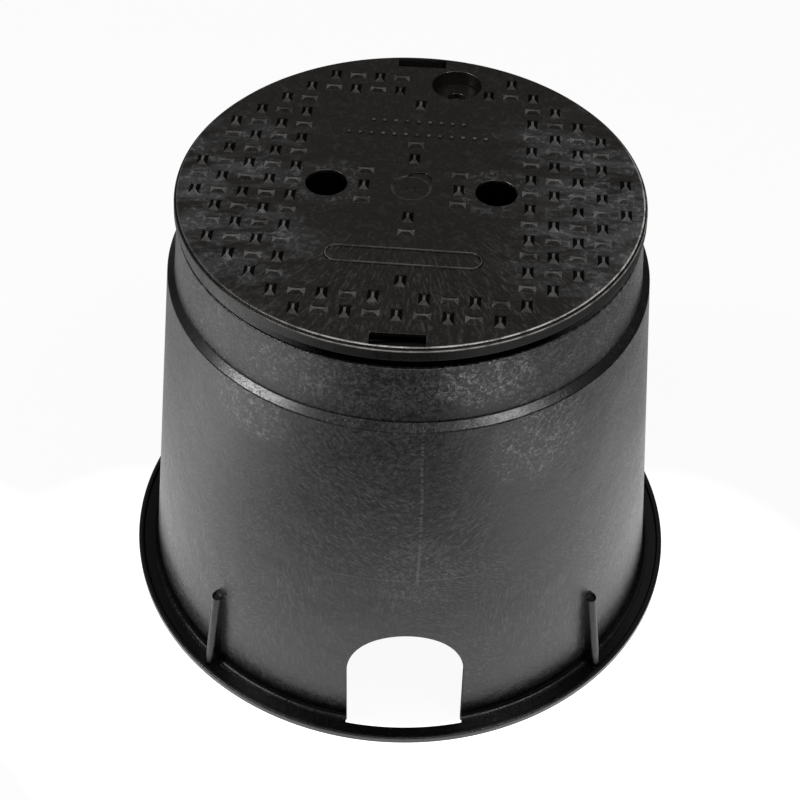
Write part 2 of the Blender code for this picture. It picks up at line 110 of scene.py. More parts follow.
@named
class CoverSizes(bpy.types.PropertyGroup):
    """Sizes of the cover."""
    radius: metres(0.1215, "Outside radius at the foot of the skirt")
    turn: degrees(-5.0, "How far the cover is turned on the box, seen from above")
    plate: metres(0.005, "Thickness of the plate")
    skirt_depth: metres(0.0117, "From the face to the foot of the skirt")
    skirt_wall: metres(0.0028, "Thickness of the skirt")
    skirt_taper: metres(0.0004, "How much narrower the skirt is at its top")
    rim_step: metres(0.0013, "Width of the step round the face")
    rim_drop: metres(0.0011, "Depth of the step round the face")
    groove: metres(0.0004, "Extra depth of the step along the foot of the face")
    rebate: metres(0.0010, "Depth of the rebate round the foot of the skirt")
    rebate_height: metres(0.0046, "Height of the rebate")
    edge: metres(0.0005, "Radius of the moulded edges")
    hole_radius: metres(0.01075, "Radius of the finger holes")
    hole_spacing: metres(0.0875, "Between the middles of the finger holes")
    slot_length: metres(0.0265, "Length of a prising slot")
    slot_width: metres(0.0082, "Width of a prising slot")
    slot_inset: metres(0.0003, "From a slot to the inside of the skirt")
    slot_turn: degrees(0.9, "Turn of the slots against the tread")
    bore_radius: metres(0.0136, "Radius of the counterbore")
    bore_depth: metres(0.0085, "Depth of the counterbore")
    bore_wall: metres(0.0024, "Wall of the cup round the counterbore")
    bore_floor: metres(0.003, "Floor of the cup under the counterbore")
    bore_gap: metres(0.0013, "Between the cup and the neck")
    bolt_radius: metres(0.0047, "Radius of the bolt hole")
    bolt_azimuth: degrees(11.2, "Bolt hole, clockwise from the back slot")
    well_radius: metres(0.0098, "Round well at the moulding gate")
    well_depth: metres(0.0007, "Depth of the well at the gate")
    nub_radius: metres(0.0023, "Nub left standing at the gate")
    mark_radius: metres(0.0065, "Round mark beside the gate")
    mark_depth: metres(0.0011, "Depth of the mark beside the gate")
    mark_place: place((0.0035, 0.0067, 0.0), "Middle of the insert mark")
    rib_wall: metres(0.0024, "Thickness of the ribs under the plate")
    rib_depth: metres(0.0048, "Depth of the ribs under the plate")
    rib_start: metres(0.012, "Where the ribs start, from the middle")
    rib_margin: metres(0.0035, "From the ribs' ends to the neck")
    ring_radius: metres(0.070, "Radius of the ring under the plate")
    rib_count: number(8, "Ribs under the plate")


@named
class TreadSizes(bpy.types.PropertyGroup):
    """Raised marks on the cover's face."""
    pitch: metres(0.0122, "Spacing of the square grid")
    length: metres(0.0092, "Length of a bar")
    width: metres(0.0060, "Width of a bar")
    height: metres(0.0012, "Height of a bar over the face")
    ridge: metres(0.0036, "Length of a bar's ridge")
    crest: metres(0.0013, "Width of a bar's flat top")
    border: metres(0.0042, "Bare border inside the edge of the face")
    margin: metres(0.0010, "Clearance to the slots and the counterbore")
    first_column: number(5, "Columns of the grid are full from here outwards")
    first_row: number(7, "Rows of the grid are full from here outwards")
    panel_length: metres(0.078, "Length of the blank panel")
    panel_depth: metres(0.013, "Depth of the blank panel")
    panel_line: metres(0.0012, "Width of the raised line round the panel")
    panel_place: metres(0.0555, "From the middle of the cover to the panel")
    mark_height: metres(0.0007, "Height of the panel's line and the studs")
    stud_radius: metres(0.0013, "Radius of a stud")
    stud_pitch: metres(0.0061, "Spacing of the studs in a row")


@named
class BodySizes(bpy.types.PropertyGroup):
    """Sizes of the body."""
    rest_gap: metres(0.0003, "Between the cover's plate and the neck")
    neck_clearance: metres(0.0015, "Between the skirt and the neck")
    skirt_gap: metres(0.0013, "Between the skirt's foot and its seat")
    overhang: metres(0.0009, "How far the cover stands past its seat")
    wall: metres(0.004, "Thickness of the wall")
    draft: degrees(6.3, "Slope of the wall")
    neck_wall: metres(0.0036, "Thickness of the neck")
    seat: metres(0.0045, "Thickness of the seat under the skirt")
    shoulder_depth: metres(0.0451, "From the face to the shoulder")
    shoulder_width: metres(0.0041, "Width of the shoulder's ledge")
    shoulder_drop: metres(0.0026, "Fall of the shoulder's ledge")
    flange_width: metres(0.0119, "Width of the base flange")
    flange_plate: metres(0.0028, "Thickness of the base flange")
    lip_height: metres(0.0042, "Height of the flange's lip")
    lip_width: metres(0.0034, "Width of the flange's lip")
    foot_fillet: metres(0.003, "Radius where the wall meets the ledge")
    ledge_width: metres(0.0006, "Width of the ledge past the fillet")
    ledge_height: metres(0.0008, "Height of the ledge over the flange")
    opening_width: metres(0.064, "Width of a pipe opening")
    opening_height: metres(0.0725, "Height of a pipe opening")
    opening_margin: metres(0.0003, "How far the cut runs past the ledge")
    opening_edge: metres(0.0006, "Rounding of the pipe opening's edge")
    rib_count: number(4, "Gusset ribs round the foot")
    rib_thickness: metres(0.006, "Thickness of a gusset rib")
    rib_height: metres(0.0575, "Height of a gusset rib")
    rib_top: metres(0.005, "How far a rib's top stands out from the wall")
    rib_slope: metres(0.0012, "Fall of a rib's cap")
    rib_rim: metres(0.003, "From a rib's foot to the edge of the flange")
    rib_nose: metres(0.0029, "Rounding of a rib's outer edges")
    rib_edge: metres(0.0010, "Rounding of a rib's cap")
    rib_pad: metres(0.0012, "How far the ledge stands out round a rib")
    notch_length: metres(0.030, "Length of the notches in the neck")
    lug_radius: metres(0.010, "Radius of the lug for the cover's bolt")
    lug_height: metres(0.018, "Height of the lug")
    lug_gap: metres(0.0006, "Between the lug and the cover's cup")
    pilot_radius: metres(0.003, "Radius of the pilot hole in the lug")
    edge: metres(0.0006, "Radius of the moulded edges")


@named
class PlasticLook(bpy.types.PropertyGroup):
    """Colours of the two plastics, and of the sheen, highlights and shade painted on them."""
    body_dark: colour((0.0085, 0.0086, 0.0095), "Body plastic between the flow marks")
    body_pale: colour((0.082, 0.083, 0.090), "Flow marks on the body")
    # Pale patches, partly scuffs and partly painted sheen where the wall catches the light
    body_rubbed: colour((0.55, 0.55, 0.56), "Pale patches on the body")
    # Darker towards the foot: on the flange, the ribs and the lowest part of the wall
    body_foot: colour((0.0022, 0.0021, 0.0020), "Body plastic on the base flange")
    cover_dark: colour((0.0048, 0.0036, 0.0026), "Cover plastic between the flow marks")
    cover_pale: colour((0.092, 0.091, 0.093), "Flow marks on the cover")
    # Painted highlights on the tread's bars and on the rim's edges
    cover_worn: colour((0.62, 0.60, 0.57), "Rubbed edges of the cover")
    # Dull black painted as shade in holes, gaps, on the bars' sides and other dark places
    shadowed: colour((0.0010, 0.0010, 0.0010), "Plastic inside holes and gaps")
    body_roughness: share(0.27, "Roughness of the body between the flow marks")
    cover_roughness: share(0.30, "Roughness of the cover")


@named
class StudioLook(bpy.types.PropertyGroup):
    """Camera, lamps and floor."""
    camera_place: place((-0.02248, -0.64386, 0.75761), "Where the camera stands")
    camera_turn: rotation([math.radians(turn) for turn in (44.7029, -1.1707, -0.5854)],
                          "How the camera is turned")
    lens: millimetres(70.69, "Focal length on a 36 mm sensor")
    floor: share(0.80, "Reflectance of the floor")
    box_radius: metres(0.155, "Radius of the wall's foot, outside which the floor shines")


def box_settings():
    return bpy.context.scene.valve_box


# Shader and geometry maths as expressions


def binary(operation, swapped=False):
    """Method of Value that adds a Math node for it and another value."""
    def method(self, other):
        return self.maths(operation, *((other, self) if swapped else (self, other)))
    return method


class Value:
    """An output socket that adds a Math node for each operator it meets."""
    __add__ = __radd__ = binary("ADD")
    __sub__, __rsub__ = binary("SUBTRACT"), binary("SUBTRACT", swapped=True)
    __mul__ = __rmul__ = binary("MULTIPLY")
    __truediv__, __rtruediv__ = binary("DIVIDE"), binary("DIVIDE", swapped=True)
    __pow__ = binary("POWER")
    __gt__ = binary("GREATER_THAN")
    __lt__ = binary("LESS_THAN")
    highest = binary("MAXIMUM")
    lowest = binary("MINIMUM")

    def __init__(self, tree, socket):
        self.tree = tree
        self.socket = socket

    def maths(self, operation, *terms):
        return self.tree.node("ShaderNodeMath", dict(enumerate(terms)), operation=operation)

    def __neg__(self):
        return self * -1.0

    def __abs__(self):
        return self.maths("ABSOLUTE", self)

    def near(self, other, within=0.5):
        """1 where the two differ by less than a tolerance, else 0."""
        return abs(self - other) < within

    def ramp(self, low, high):
        """Smooth step from 0 at low to 1 at high."""
        return self.tree.node("ShaderNodeMapRange",
                              {"Value": self, "From Min": low, "From Max": high},
                              interpolation_type="SMOOTHSTEP")

    def between(self, start, full, fade, end):
        """1 from full to fade, and 0 before start and after end."""
        return self.ramp(start, full) * self.ramp(end, fade)

    def close_to(self, target, reach):
        """1 at the target, falling to 0 at a reach away from it."""
        return 1.0 - abs(self - target).ramp(0.0, reach)

    def give_way(self, other, share):
        """This value, and the other one by its share."""
        return self * (1.0 - share) + other * share


def distance(x, y):
    """How far a point lies from the middle, as values of a tree."""
    return (x * x + y * y) ** 0.5


class Tree:
    """A node tree that is written from the outputs of one node to the inputs of the next."""

    def __init__(self, tree):
        self.tree = tree

    def node(self, kind, inputs=None, output=0, **settings):
        """A new node's output, once its settings and then its sockets are set."""
        made = self.tree.nodes.new(kind)
        for name, value in settings.items():
            setattr(made, name, value)
        for key, value in (inputs or {}).items():
            self.feed(self.find(made.inputs, key), value)
        return Value(self, self.find(made.outputs, output))

    @staticmethod
    def find(sockets, key):
        if isinstance(key, int):
            return sockets[key]
        exact = [socket for socket in sockets if socket.identifier == key]
        return (exact or [socket for socket in sockets if socket.name == key])[0]

    def feed(self, socket, value):
        if isinstance(value, Value):
            self.tree.links.new(value.socket, socket)
        else:
            socket.default_value = value

    def other(self, value, output):
        """Another output of the node that a value comes from."""
        return Value(self, self.find(value.socket.node.outputs, output))

    def split(self, vector):
        x = self.node("ShaderNodeSeparateXYZ", {0: vector})
        return x, self.other(x, 1), self.other(x, 2)

    def join(self, x, y, z):
        return self.node("ShaderNodeCombineXYZ", {0: x, 1: y, 2: z})

    def mix(self, share, low, high):
        """Mix of two colours, each a value of the tree or a property."""
        low, high = (end if isinstance(end, Value) else (*end, 1.0) for end in (low, high))
        return self.node("ShaderNodeMix",
                         {"Factor_Float": share, "A_Color": low, "B_Color": high},
                         "Result_Color", data_type="RGBA")

    def mix_shaders(self, share, low, high):
        return self.node("ShaderNodeMixShader", {0: share, 1: low, 2: high}, "Shader")

    def end(self, shader, kind="ShaderNodeOutputMaterial"):
        """Lead a shader to the tree's output."""
        self.feed(self.tree.nodes.new(kind).inputs["Surface"], shader)


class Growth(Tree):
    """A Geometry Nodes tree with named inputs, which ends in realised copies of one shape."""

    def __init__(self, name, shape, material):
        super().__init__(bpy.data.node_groups.new(name, "GeometryNodeTree"))
        for way in ("INPUT", "OUTPUT"):
            self.tree.interface.new_socket("Geometry", in_out=way,
                                           socket_type="NodeSocketGeometry")
        self.start = self.tree.nodes.new("NodeGroupInput")
        self.values = {}
        self.shape = shape
        self.source = self.ask("Shape", "NodeSocketObject", shape)
        self.material = self.ask("Material", "NodeSocketMaterial", material)

    def ask(self, name, kind, value):
        """A named input, with the value that the modifier gets for it."""
        item = self.tree.interface.new_socket(name, in_out="INPUT", socket_type=kind)
        self.values[item.identifier] = value
        return Value(self, self.find(self.start.outputs, item.identifier))

    def size(self, name, value):
        return self.ask(name, "NodeSocketFloat", value)

    def count(self, name, value):
        return self.ask(name, "NodeSocketInt", value)

    def copies(self, points, rotation, selection=True):
        """Copies of the shape on points, each turned by an angle about Z."""
        source = self.node("GeometryNodeObjectInfo", {"Object": self.source}, "Geometry")
        turn = self.node("FunctionNodeEulerToRotation", {0: self.join(0.0, 0.0, rotation)})
        return self.node("GeometryNodeInstanceOnPoints",
                         {"Points": points, "Selection": selection, "Instance": source,
                          "Rotation": turn})

    def grow(self, geometry):
        """Plain mesh object of the tree's result, in place of the shape."""
        real = self.node("GeometryNodeRealizeInstances", {0: geometry})
        real = self.node("GeometryNodeSetMaterial",
                         {"Geometry": real, "Material": self.material})
        self.feed(self.tree.nodes.new("NodeGroupOutput").inputs[0], real)
        grown = new_object(self.tree.name, bpy.data.meshes.new(self.tree.name))
        modifier = grown.modifiers.new(self.tree.name, "NODES")
        modifier.node_group = self.tree
        for identifier, value in self.values.items():
            modifier[identifier] = value
        bake_modifiers(grown)
        discard(self.shape)
        return grown


# Mesh tools


def new_object(name, content):
    """Object in the scene that holds a mesh, a lamp or a lens."""
    made = bpy.data.objects.new(name, content)
    bpy.context.scene.collection.objects.link(made)
    return made


def from_bmesh(name, work):
    bmesh.ops.recalc_face_normals(work, faces=work.faces)
    mesh = bpy.data.meshes.new(name)
    work.to_mesh(mesh)
    work.free()
    return new_object(name, mesh)


def bake_modifiers(piece):
    """Replace a piece's mesh by what its modifiers make of it."""
    bpy.context.view_layer.update()
    evaluated = piece.evaluated_get(bpy.context.evaluated_depsgraph_get())
    result = bpy.data.meshes.new_from_object(evaluated)
    if not result.polygons:
        raise RuntimeError(f"{piece.name} came out empty")
    old = piece.data
    piece.modifiers.clear()
    piece.data = result
    result.name = piece.name
    bpy.data.meshes.remove(old)


def discard(*pieces):
    for piece in pieces:
        mesh = piece.data
        bpy.data.objects.remove(piece, do_unlink=True)
        bpy.data.meshes.remove(mesh)


def combine(piece, operation, tools):
    """Union with each tool in turn, or cut each one out, and remove the tools."""
    for tool in tools:
        boolean = piece.modifiers.new(tool.name, "BOOLEAN")
        boolean.object = tool
        boolean.operation = operation
        boolean.solver = "EXACT"
    bake_modifiers(piece)
    discard(*tools)


def loft(name, rings, tied=False):
    """Quads through rings of as many points each, capped, or tied end to end."""
    work = bmesh.new()
    rows = [[work.verts.new(point) for point in ring] for ring in rings]
    pairs = list(zip(rows, rows[1:]))
    if tied:
        pairs.append((rows[-1], rows[0]))
    else:
        work.faces.new(rows[0])
        work.faces.new(rows[-1])
    for low, high in pairs:
        for index, corner in enumerate(low):
            beside = (index + 1) % len(low)
            work.faces.new((corner, low[beside], high[beside], high[index]))
    return from_bmesh(name, work)


def turn_piece(piece, angle):
    """Turn a piece's mesh about Z."""
    piece.data.transform(Matrix.Rotation(angle, 4, "Z"))
    return piece


def rounded(corners, closed=True):
    """Line through (x, y, radius) corners, with an arc of its own radius at each."""
    points = []
    last = len(corners) - 1
    for index, (x, y, radius) in enumerate(corners):
        here = Vector((x, y))
        if radius == 0.0 or (not closed and index in (0, last)):
            points.append(here)
            continue
        back = (Vector(corners[index - 1][:2]) - here).normalized()
        ahead = (Vector(corners[(index + 1) % len(corners)][:2]) - here).normalized()
        turn = math.pi - back.angle(ahead)
        centre = here + (back + ahead).normalized() * (radius / math.cos(turn / 2.0))
        arm = here + back * (radius * math.tan(turn / 2.0)) - centre
        steps = max(2, math.ceil(turn / ARC_STEP))
        side = math.copysign(1.0, ahead.cross(back))
        for step in range(steps + 1):
            points.append(centre + Matrix.Rotation(side * turn * step / steps, 2) @ arm)
    return points


def arc(radius, start, end, steps, centre=(0.0, 0.0)):
    """Points of an arc about a centre, from one angle to another."""
    turns = [start + (end - start) * step / steps for step in range(steps + 1)]
    return [(centre[0] + radius * math.cos(turn), centre[1] + radius * math.sin(turn))
            for turn in turns]


def circle(radius, z, centre=(0.0, 0.0), segments=SEGMENTS, start=0.0):
    """Ring of points at a height, the first one a share of a step past +X."""
    first = 2.0 * math.pi * start / segments
    return [(x, y, z) for x, y in arc(radius, first, first + 2.0 * math.pi, segments, centre)[:-1]]


def turned(name, profile, tied=True, segments=SEGMENTS):
    """Profile of (radius, height) points turned about Z, its ends tied or capped."""
    return loft(name, [circle(radius, z, segments=segments) for radius, z in profile], tied)


def rounded_box(length, depth, corner, centre=(0.0, 0.0)):
    """Outline of a rectangle with round corners, as a function of how far it is let out."""
    def outline(spread, z):
        x, y = length / 2.0 + spread, depth / 2.0 + spread
        corners = [(a * x, b * y, corner) for a, b in CORNERS]
        return [(centre[0] + p.x, centre[1] + p.y, z) for p in rounded(corners)]
    return outline


def round_outline(radius, centre=(0.0, 0.0), segments=HOLE_SEGMENTS):
    def outline(spread, z):
        return circle(radius + spread, z, centre, segments)
    return outline


def edge_arc(radius, steps=3):
    """(depth, spread) pairs that round an edge over from a surface into a hole."""
    return arc(radius, math.pi, 1.5 * math.pi, steps, (radius, radius))


def hole_cutter(name, outline, top, bottom, edge, through=True):
    """Cutter whose hole has a rounded rim, and a rounded far rim or floor."""
    bend = edge_arc(edge)
    rings = [outline(edge, top + OVERCUT)]
    rings += [outline(spread, top - depth) for depth, spread in bend]
    if through:
        rings += [outline(spread, bottom + depth) for depth, spread in reversed(bend)]
        rings.append(outline(edge, bottom - OVERCUT))
    else:
        rings += [outline(-spread, bottom + edge - depth) for depth, spread in reversed(bend)]
    return loft(name, rings)


def around(radius, azimuth):
    """Point at a radius, turned clockwise from +Y as seen from above."""
    return radius * math.sin(azimuth), radius * math.cos(azimuth)


def ring_of(name, shape, count, material):
    """Copies of a shape turned evenly about Z, the first one half a step from +X."""
    tree = Growth(name, shape, material)
    amount = tree.count("Count", count)
    points = tree.node("GeometryNodePoints", {"Count": amount})
    index = tree.node("GeometryNodeInputIndex")
    return tree.grow(tree.copies(points, (index + 0.5) * (2.0 * math.pi / amount)))


def shade(piece):
    """Smooth faces, with normals that follow the large faces, so that flats stay flat."""
    piece.data.shade_smooth()
    piece.data.set_sharp_from_angle(angle=SMOOTH_ANGLE)
    weighting = piece.modifiers.new("weighting", "WEIGHTED_NORMAL")
    weighting.keep_sharp = True
    bake_modifiers(piece)


def finish_piece(piece, node, body, material):
    """Give a piece its plastic, and let it stand for its node."""
    work = bmesh.new()
    work.from_mesh(piece.data)
    bmesh.ops.remove_doubles(work, verts=work.verts, dist=MERGE)
    bmesh.ops.recalc_face_normals(work, faces=work.faces)
    loose = [edge for edge in work.edges if len(edge.link_faces) != 2]
    if loose:
        print(f"{piece.name}: {len(loose)} open edges")
    for face in work.faces:
        face.material_index = 0
    work.to_mesh(piece.data)
    work.free()
    shade(piece)
    piece.data.materials.clear()
    piece.data.materials.append(material)
    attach(piece, body)
    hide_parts(node)


# Form of the box


class Form:
    """Radii and heights of the body and the cover, worked out from their sizes."""

    def __init__(self, body, cover):
        self.face = COVER_TOP - box_settings().tread.height
        self.plate = self.face - cover.plate
        self.skirt = self.face - cover.skirt_depth
        self.neck_top = self.plate - body.rest_gap
        self.seat = self.skirt - body.skirt_gap
        self.shoulder_top = self.face - body.shoulder_depth
        self.shoulder_foot = self.shoulder_top - body.shoulder_drop
        self.cup = self.face - cover.bore_depth - cover.bore_floor
        self.ledge = body.flange_plate + body.ledge_height
        self.rib_cap = body.rib_height
        self.lug_top = self.cup - body.lug_gap
        self.skirt_top_radius = cover.radius - cover.skirt_taper
        self.face_radius = self.skirt_top_radius - cover.rim_step
        self.skirt_inner = cover.radius - cover.skirt_wall
        self.neck_radius = self.skirt_inner - body.neck_clearance
        self.neck_inner = self.neck_radius - body.neck_wall
        self.seat_radius = cover.radius - body.overhang
        self.slope = math.tan(body.draft)
        self.shoulder_inner = self.upper_wall(self.shoulder_top)
        self.shoulder_radius = self.shoulder_inner + body.shoulder_width
        self.ledge_radius = (self.lower_wall(self.ledge + body.foot_fillet)
                             + body.foot_fillet / math.cos(body.draft) + body.ledge_width)
        self.flange_radius = self.lower_wall(self.ledge) + body.flange_width
        self.cup_radius = cover.bore_radius + cover.bore_wall
        self.bolt_circle = self.neck_inner - cover.bore_gap - self.cup_radius
        self.bolt = around(self.bolt_circle, cover.bolt_azimuth)
        self.bolt_azimuth = cover.bolt_azimuth - cover.turn
        self.turned_bolt = around(self.bolt_circle, self.bolt_azimuth)
        self.slot_middle = self.skirt_inner - cover.slot_inset - cover.slot_width / 2.0

    def lower_wall(self, z):
        return self.shoulder_radius + (self.shoulder_foot - z) * self.slope

    def upper_wall(self, z):
        return self.seat_radius + (self.seat - z) * self.slope


def body_profile(form, body):
    """Section of the wall, from the neck down the outside and back up the inside."""
    lip_inner = form.flange_radius - body.lip_width
    under_shoulder = form.shoulder_foot - body.shoulder_drop
    over_shoulder = form.shoulder_top - body.shoulder_drop
    under_seat = form.seat - body.seat
    seat_root = form.upper_wall(under_seat) - body.wall
    neck_root = under_seat + (seat_root - form.neck_inner) / 2.0
    edge = body.edge
    return rounded([
        (form.neck_radius, form.neck_top, edge),
        (form.neck_radius, form.seat, edge / 2.0),
        (form.seat_radius, form.seat, edge),
        (form.shoulder_inner, form.shoulder_top, edge),
        (form.shoulder_radius, form.shoulder_foot, edge),
        (form.lower_wall(form.ledge), form.ledge, body.foot_fillet),
        (form.ledge_radius, form.ledge, edge / 3.0),
        (form.ledge_radius, body.flange_plate, edge / 4.0),
        (lip_inner, body.flange_plate, edge / 2.0),
        (lip_inner + EMBED, body.lip_height, edge),
        (form.flange_radius, body.lip_height, 1.5 * edge),
        (form.flange_radius, 0.0, edge / 2.0),
        (form.lower_wall(0.0) - body.wall, 0.0, edge),
        (form.lower_wall(under_shoulder) - body.wall, under_shoulder, 2.0 * edge),
        (form.upper_wall(over_shoulder) - body.wall, over_shoulder, 2.0 * edge),
        (seat_root, under_seat, 2.0 * edge),
        (form.neck_inner, neck_root, 2.0 * edge),
        (form.neck_inner, form.neck_top, edge),
    ])


def arch_points(body, steps=48):
    """Pipe opening as (x, z, outward x, outward z): straight sides under a half-round crown."""
    half = body.opening_width / 2.0
    spring = body.opening_height - half
    feet = (-OVERCUT, spring / 2.0)
    points = [(half, z, 1.0, 0.0) for z in feet]
    points += [(half * x, spring + half * z, x, z) for x, z in arc(1.0, 0.0, math.pi, steps)]
    return points + [(-half, z, -1.0, 0.0) for z in reversed(feet)]


def pipe_opening_cutter(form, body, side):
    """Arch through the wall whose edges are rounded, kept inside the flange's ring."""
    arch = arch_points(body)
    edge = body.opening_edge

    def at_depth(depth, spread):
        ring = []
        for x, z, out_x, out_z in arch:
            x, z = x + spread * out_x, z + spread * out_z
            radius = form.lower_wall(z) - depth
            ring.append((x, side * math.sqrt(radius ** 2 - x ** 2), z))
        return ring

    def across_at(far):
        return [(x + edge * out_x, side * far, z + edge * out_z) for x, z, out_x, out_z in arch]

    bend = edge_arc(edge)
    sunk = EMBED / 10.0
    rings = [across_at(form.flange_radius)]
    rings += [at_depth(depth + sunk, spread) for depth, spread in bend]
    rings += [at_depth(body.wall - sunk - depth, spread) for depth, spread in reversed(bend)]
    rings.append(across_at(form.neck_radius))
    cutter = loft("pipe_opening_cutter", rings)
    reach = form.ledge_radius + body.opening_margin
    limit = loft("pipe_opening_reach",
                 [circle(reach, z, start=0.5) for z in (-2.0 * OVERCUT, form.seat)])
    combine(cutter, "INTERSECT", [limit])
    return cutter


def gusset_rib(form, body):
    """Gusset at azimuth +X, rooted in the wall, with a rounded nose and cap."""
    root = body.wall / 2.0
    half = body.rib_thickness / 2.0
    foot, lip, top = body.flange_plate - EMBED, body.lip_height - EMBED, body.rib_height
    edge = body.rib_edge
    reach = form.flange_radius - body.rib_rim
    crown = form.lower_wall(top) + body.rib_top

    def section(outer, z, inset=0.0, fall=0.0):
        inner = form.lower_wall(z) - root
        side, nose = half - inset, body.rib_nose - inset
        points = rounded([(inner, -side, 0.0), (outer - inset, -side, nose),
                          (outer - inset, side, nose), (inner, side, 0.0)])
        return [(p.x, p.y, z - fall * (p.x - inner) / (outer - inner)) for p in points]

    rings = [section(reach, foot), section(reach, lip)]
    for depth, spread in reversed(edge_arc(edge)):
        rings.append(section(crown, top - spread, edge - depth, body.rib_slope))
    return loft("gusset_rib", rings)


def rib_pad(form, body):
    """The wall's ledge where it runs out round a gusset's foot."""
    root = form.lower_wall(form.ledge) - body.wall / 2.0
    outer = form.flange_radius - body.lip_width + EMBED
    depth = body.rib_thickness + 2.0 * body.rib_pad
    outline = rounded_box(outer - root, depth, body.rib_pad, ((outer + root) / 2.0, 0.0))
    return loft("rib_pad", [outline(0.0, body.flange_plate - EMBED), outline(0.0, form.ledge)])


def bolt_lug(form, body, steps=32):
    """Lug inside the neck, under the cover's bolt hole, rooted in the wall."""
    reach = (form.neck_inner + form.neck_radius) / 2.0
    nose = arc(body.lug_radius, -0.5 * math.pi, -1.5 * math.pi, steps, (form.bolt_circle, 0.0))
    outline = [(reach, -body.lug_radius), *nose, (reach, body.lug_radius)]
    rings = [[(x, y, z) for x, y in outline]
             for z in (form.lug_top - body.lug_height, form.lug_top)]
    return turn_piece(loft("bolt_lug", rings), math.pi / 2.0 - form.bolt_azimuth)


def neck_notch(form, body, cover, side):
    """Cutter for the notch in the neck under a slot."""
    depth = 2.0 * (body.neck_wall + body.neck_clearance)
    middle = side * (form.neck_inner + form.neck_radius) / 2.0
    outline = rounded_box(body.notch_length, depth, body.edge, (0.0, middle))
    rings = [outline(0.0, form.seat + EMBED), outline(0.0, form.neck_top + OVERCUT)]
    return turn_piece(loft("neck_notch", rings), cover.turn + cover.slot_turn)


def make_body(form, body, cover, material):
    piece = turned("valve_box_body", body_profile(form, body))
    ribs = ring_of("gusset_ribs", gusset_rib(form, body), body.rib_count, material)
    pads = ring_of("rib_pads", rib_pad(form, body), body.rib_count, material)
    combine(piece, "UNION", [ribs, pads, bolt_lug(form, body)])
    pilot = round_outline(body.pilot_radius, form.turned_bolt, SMALL_SEGMENTS)
    cuts = [hole_cutter("bolt_pilot", pilot, form.lug_top, form.lug_top - body.lug_height, EMBED)]
    cuts += [pipe_opening_cutter(form, body, side) for side in (-1.0, 1.0)]
    cuts += [neck_notch(form, body, cover, side) for side in (-1.0, 1.0)]
    combine(piece, "DIFFERENCE", cuts)
    return piece


# Form of the cover

# Rows of the grid with a bar in the middle column, and each row of studs with its count
MIDDLE_ROWS = (2, 3, 6)
STUD_ROWS = ((0.0570, 9), (0.0450, 13))


def cover_profile(form, cover):
    """Section of the cover from its face, over the stepped rim and the skirt, to its underside."""
    step = form.face - cover.rim_drop
    edge = cover.edge
    flat = form.skirt_inner - 8.0 * edge
    return rounded([
        (flat, form.face, 0.0),
        (form.face_radius, form.face, edge),
        (form.face_radius, step - cover.groove, edge / 3.0),
        (form.skirt_top_radius, step, edge),
        (cover.radius, form.skirt + cover.rebate_height, edge),
        (cover.radius - cover.rebate, form.skirt + cover.rebate_height, edge / 3.0),
        (cover.radius - cover.rebate, form.skirt, edge),
        (form.skirt_inner, form.skirt, edge),
        (form.skirt_inner, form.plate, edge),
        (flat, form.plate, 0.0),
    ], closed=False)


def tread_bar(tread, form):
    """Bar along X with sloping sides and a narrow top, sunk a little into the face."""
    sunk = EMBED / tread.height
    foot = (tread.length + (tread.length - tread.ridge) * sunk,
            tread.width + (tread.width - tread.crest) * sunk, form.face - EMBED)
    top = (tread.ridge, tread.crest, form.face + tread.height)
    return loft("tread_bar", [[(a * length / 2.0, b * width / 2.0, z) for a, b in CORNERS]
                              for length, width, z in (foot, top)])


def tread_field(form, cover, tread, material):
    """Bars on a square grid, crosswise to their neighbours, clear of the holes and the middle."""
    tree = Growth("tread", tread_bar(tread, form), material)
    pitch = tree.size("Pitch", tread.pitch)
    reach = tree.size("Field radius", form.face_radius - tread.border - tread.length / 2.0)
    first_column = tree.count("First column", tread.first_column)
    first_row = tree.count("First row", tread.first_row)
    bolt_x, bolt_y = (tree.size(f"Bolt {axis}", at) for axis, at in zip("XY", form.bolt))
    half = tread.length / 2.0 + tread.margin
    bolt_keep = tree.size("Clear of bolt", cover.bore_radius + half)
    slot_x = tree.size("Clear of slot along", cover.slot_length / 2.0 + half)
    slot_y = tree.size("Clear of slot across", form.slot_middle - cover.slot_width / 2.0 - half)
    hole_column = tree.count("Finger hole column", round(cover.hole_spacing / 2.0 / tread.pitch))
    steps = int((form.face_radius - tread.border) / tread.pitch) + 1
    extent = 2.0 * steps * pitch
    grid = tree.node("GeometryNodeMeshGrid",
                     {"Size X": extent, "Size Y": extent,
                      "Vertices X": 2 * steps + 1, "Vertices Y": 2 * steps + 1})
    x, y, _ = tree.split(tree.node("GeometryNodeInputPosition"))
    column = x.maths("ROUND", x / pitch)
    row = y.maths("ROUND", y / pitch)
    along, across = abs(column), abs(row)
    in_middle = along.near(0.0)
    full = (along > first_column - 0.5).highest(across > first_row - 0.5)
    full = full * (1.0 - in_middle * across.near(first_row))
    middle = in_middle * sum(across.near(row) for row in MIDDLE_ROWS)
    beside_hole = along.near(hole_column - 2.0) * (across < 1.5)
    chosen = full.highest(middle).highest(beside_hole)
    inside = distance(x, y) < reach
    off_bolt = distance(x - bolt_x, y - bolt_y) > bolt_keep
    off_slot = 1.0 - (abs(x) < slot_x) * (abs(y) > slot_y)
    chosen = chosen * inside * off_bolt * off_slot
    odd = x.maths("FLOORED_MODULO", column + row, 2.0).near(1.0)
    return tree.grow(tree.copies(grid, (1.0 - odd) * (math.pi / 2.0), chosen > 0.5))


def stadium(length, depth, centre, steps=24):
    """Outline with straight sides and half-round ends, as a function of how far it is let out."""
    def outline(spread, z):
        ends = []
        for side in (1.0, -1.0):
            start = -side * math.pi / 2.0
            ends += arc(depth / 2.0 + spread, start, start + math.pi, steps,
                        (side * (length - depth) / 2.0, centre))
        return [(x, y, z) for x, y in ends]
    return outline


